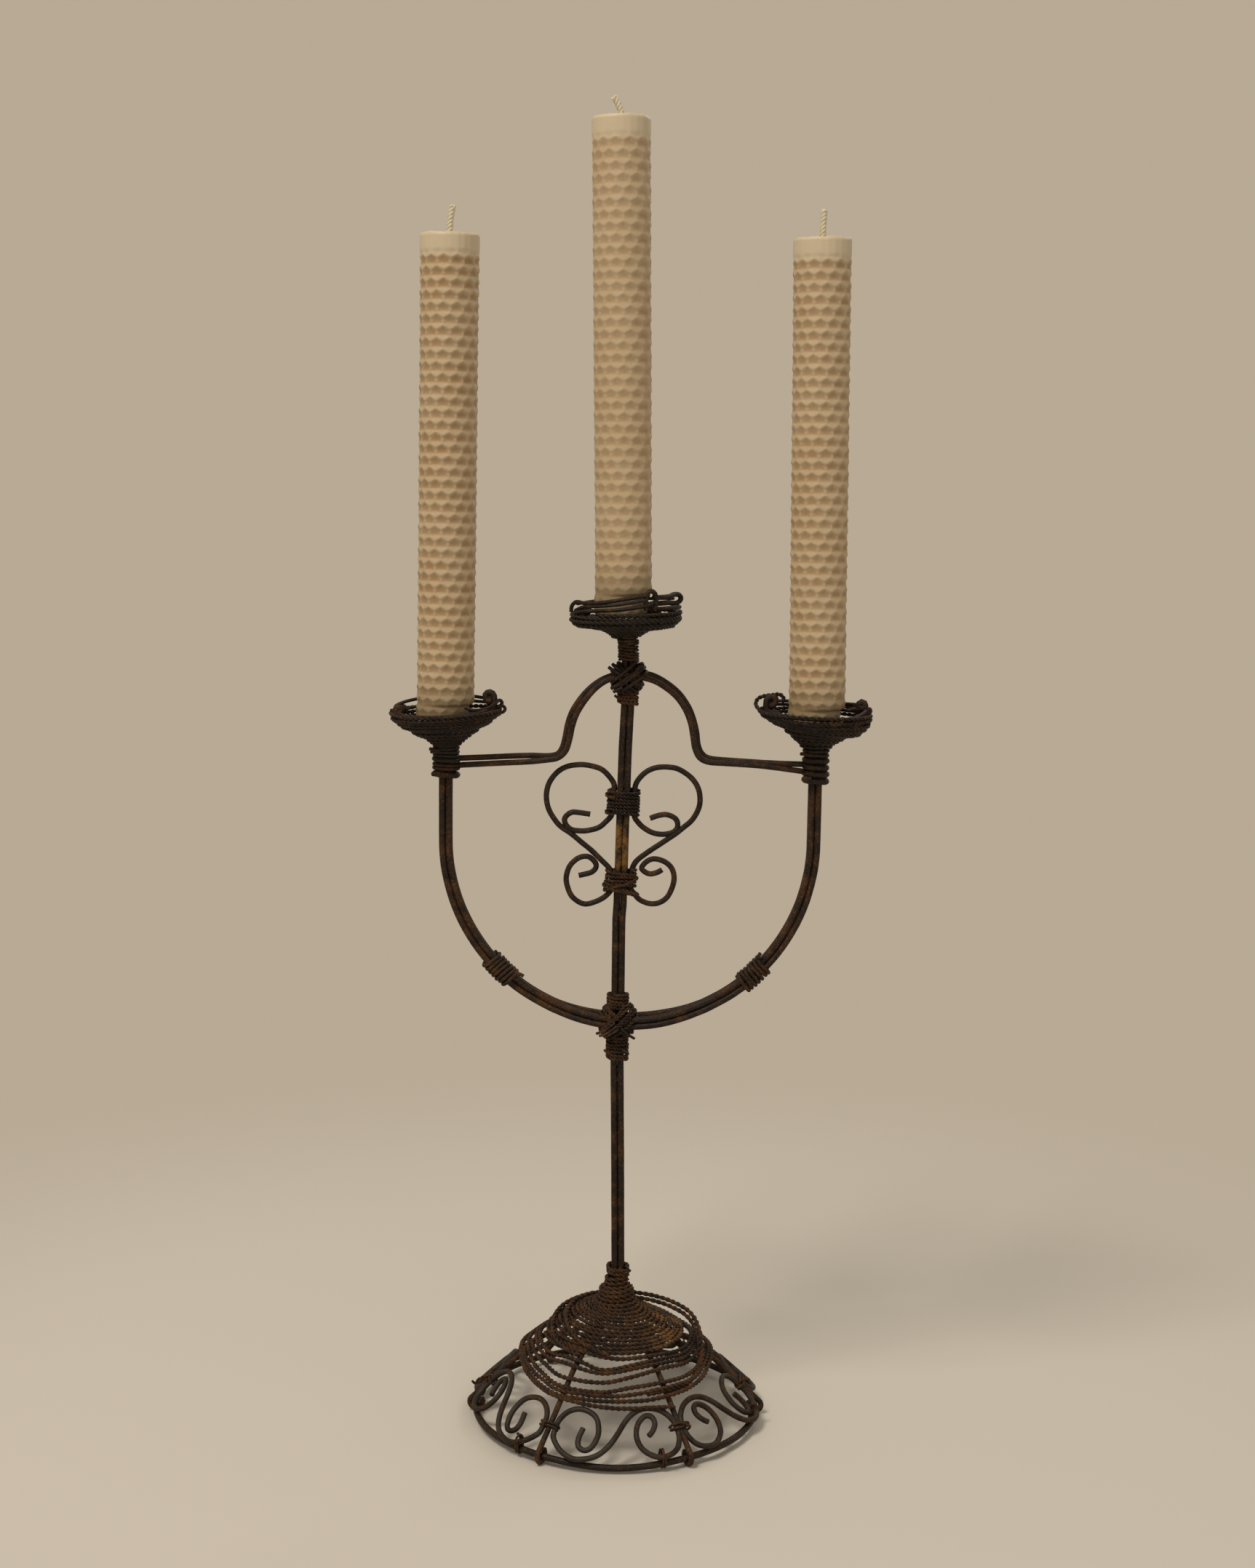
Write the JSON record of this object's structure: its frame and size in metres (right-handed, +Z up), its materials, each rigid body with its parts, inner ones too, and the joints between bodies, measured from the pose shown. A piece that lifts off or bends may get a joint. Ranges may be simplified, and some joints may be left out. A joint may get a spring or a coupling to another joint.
{
  "type": "tabletop candelabra",
  "caption": "Wire-work candelabra: lashed iron rods rise from a domed scroll base into curved arms whose coiled cups hold rolled candles.",
  "frame": {"origin": "middle of the foot ring, on the table", "axes": "+Z up the stem, +X along the arms towards the right cup, +Y to the back"},
  "size_m": [0.2054, 0.1276, 0.5694],
  "materials": {
    "iron_rod": "dark rusted iron wire",
    "rusty_binding": "brown rusted twisted binding wire",
    "beeswax": "cream honeycomb beeswax, satin",
    "wick": "off-white braided cotton"
  },
  "bodies": {
    "frame": {"foot_ring": "iron_rod", "leg_1": "iron_rod", "leg_2": "iron_rod", "leg_3": "iron_rod", "leg_4": "iron_rod", "leg_5": "iron_rod", "leg_6": "iron_rod", "hood_coil": "rusty_binding", "loose_turn_1": "iron_rod", "loose_turn_2": "iron_rod", "loose_turn_3": "iron_rod", "sprung_wire": "rusty_binding", "scroll_1": "iron_rod", "scroll_2": "iron_rod", "scroll_3": "iron_rod", "scroll_4": "iron_rod", "scroll_5": "iron_rod", "scroll_6": "iron_rod", "ring_ties": "rusty_binding", "leg_ties": "rusty_binding", "stem_collar": "rusty_binding", "stem_rod_1": "iron_rod", "stem_rod_2": "iron_rod", "stem_rod_3": "iron_rod", "stem_rod_4": "iron_rod", "arm_rod_1": "iron_rod", "arm_rod_2": "iron_rod", "arm_rod_3": "iron_rod", "arm_rod_4": "iron_rod", "arm_binding_left": "rusty_binding", "arm_binding_right": "rusty_binding", "crossing_wrap_lower": "rusty_binding", "crossing_wrap_upper": "rusty_binding", "crossing_lashing": "rusty_binding", "heart_wire_left": "iron_rod", "heart_wire_right": "iron_rod", "heart_binding_lower": "rusty_binding", "heart_binding_upper": "rusty_binding", "arch_rod_front": "iron_rod", "arch_rod_rear": "iron_rod", "arch_lashing": "rusty_binding", "arch_wrap": "rusty_binding", "neck_binding_left": "rusty_binding", "neck_binding_right": "rusty_binding", "neck_binding_centre": "rusty_binding", "cup_coil_left": "rusty_binding", "cup_coil_right": "rusty_binding", "cup_coil_centre": "rusty_binding", "rim_wire_left": "iron_rod", "rim_wire_right": "iron_rod", "rim_wire_centre": "iron_rod"},
    "candle_left": {"candle_left": "beeswax", "wick_left": "wick"},
    "candle_right": {"candle_right": "beeswax", "wick_right": "wick"},
    "candle_centre": {"candle_centre": "beeswax", "wick_centre": "wick"}
  },
  "joints": [
    {"name": "lift_candle_left", "type": "slide", "parent": "frame", "child": "candle_left", "axis": [0.0087, 0, 1], "range_m": [0, 0.03]},
    {"name": "lift_candle_centre", "type": "slide", "parent": "frame", "child": "candle_centre", "axis": [-0.0175, 0, 0.9998], "range_m": [0, 0.03]},
    {"name": "lift_candle_right", "type": "slide", "parent": "frame", "child": "candle_right", "axis": [-0.014, 0, 0.9999], "range_m": [0, 0.03]}
  ]
}
